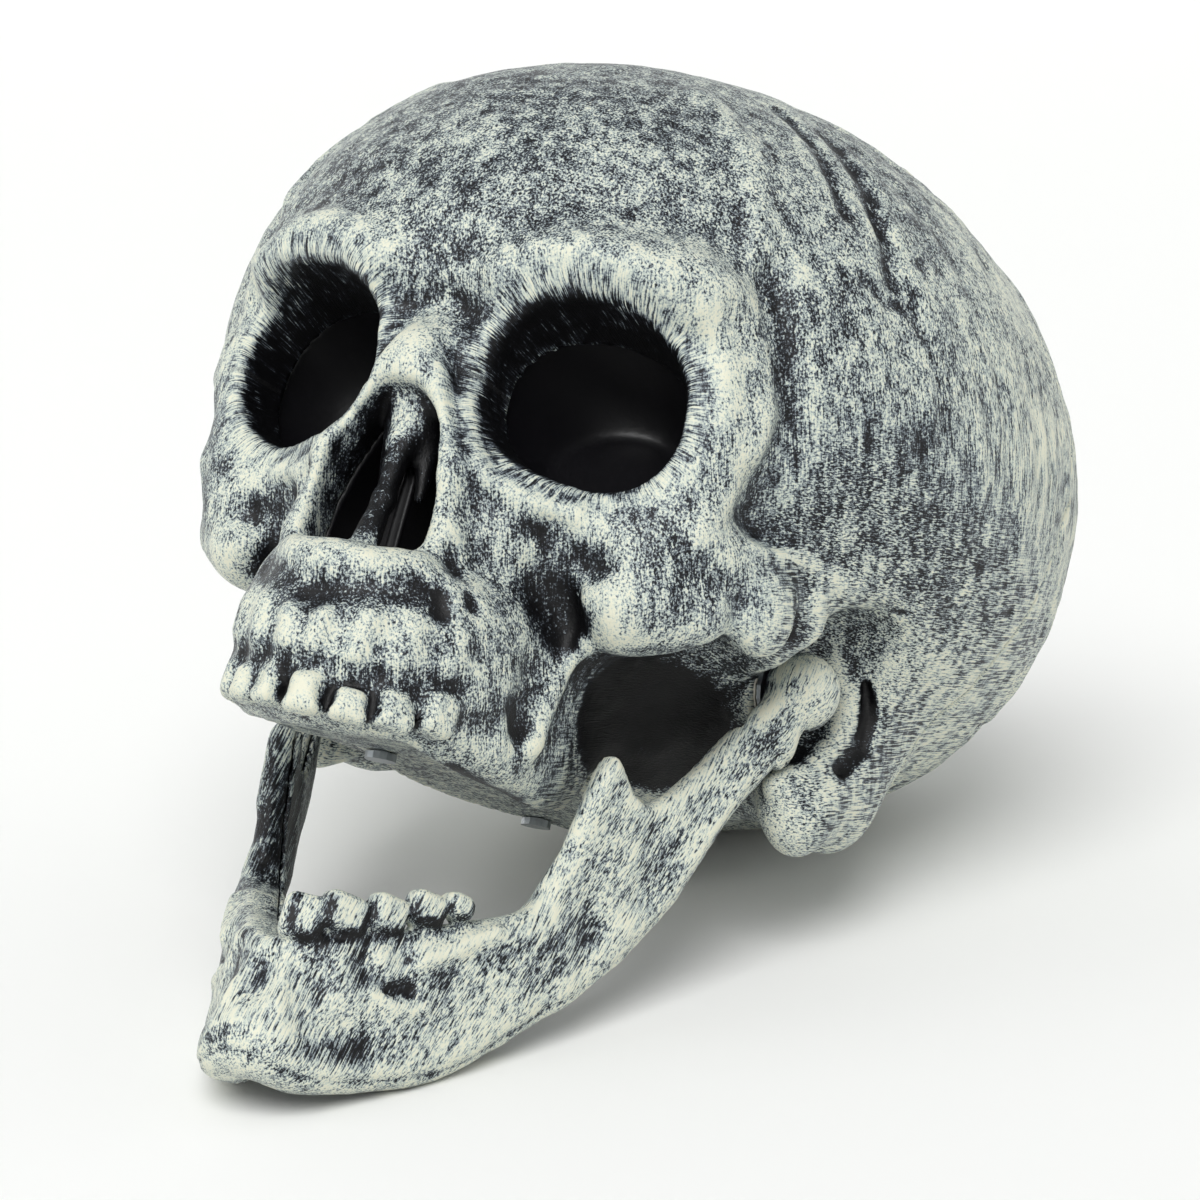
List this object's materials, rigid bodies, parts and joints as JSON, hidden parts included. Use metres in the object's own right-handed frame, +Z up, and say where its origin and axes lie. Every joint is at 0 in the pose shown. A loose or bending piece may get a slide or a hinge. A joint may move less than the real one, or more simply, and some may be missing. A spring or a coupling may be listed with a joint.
{
  "type": "halloween skull decoration",
  "caption": "Hollow human skull decoration that lies face up with its mouth open; the jaw hinges at the condyles and stays where it is put.",
  "frame": {"origin": "middle of the footprint, on the table that the skull lies on", "axes": "+Z up; -Y towards the chin, +Y towards the back of the head; +X towards the skull's left side; the jaw hinge runs along X"},
  "size_m": [0.1668, 0.2552, 0.1636],
  "materials": {
    "painted_shell": "black plastic dry-brushed with pale greenish-cream paint",
    "black_plastic": "bare black plastic, semi-gloss",
    "nylon": "moulded, satin",
    "steel": "zinc plated"
  },
  "bodies": {
    "skull": {"front_shell": "painted_shell", "rear_shell": "painted_shell", "base_cover": "painted_shell", "nose_insert": "black_plastic", "left_eye_cup": "black_plastic", "right_eye_cup": "black_plastic", "base_screw_1": "steel", "base_screw_2": "steel", "base_screw_3": "steel", "base_screw_4": "steel", "left_pivot_bush": "nylon", "right_pivot_bush": "nylon", "left_friction_washer": "steel", "right_friction_washer": "steel"},
    "jaw": {"mandible_outer_shell": "painted_shell", "mandible_inner_shell": "painted_shell", "left_pivot_pin": "steel", "right_pivot_pin": "steel", "left_pin_clip": "steel", "right_pin_clip": "steel"}
  },
  "joints": [
    {"name": "jaw_hinge", "type": "hinge", "parent": "skull", "child": "jaw", "pos_m": [0, -0.01039, 0.05021], "axis": [-1, 0, 0], "range_deg": [0, 16]}
  ]
}
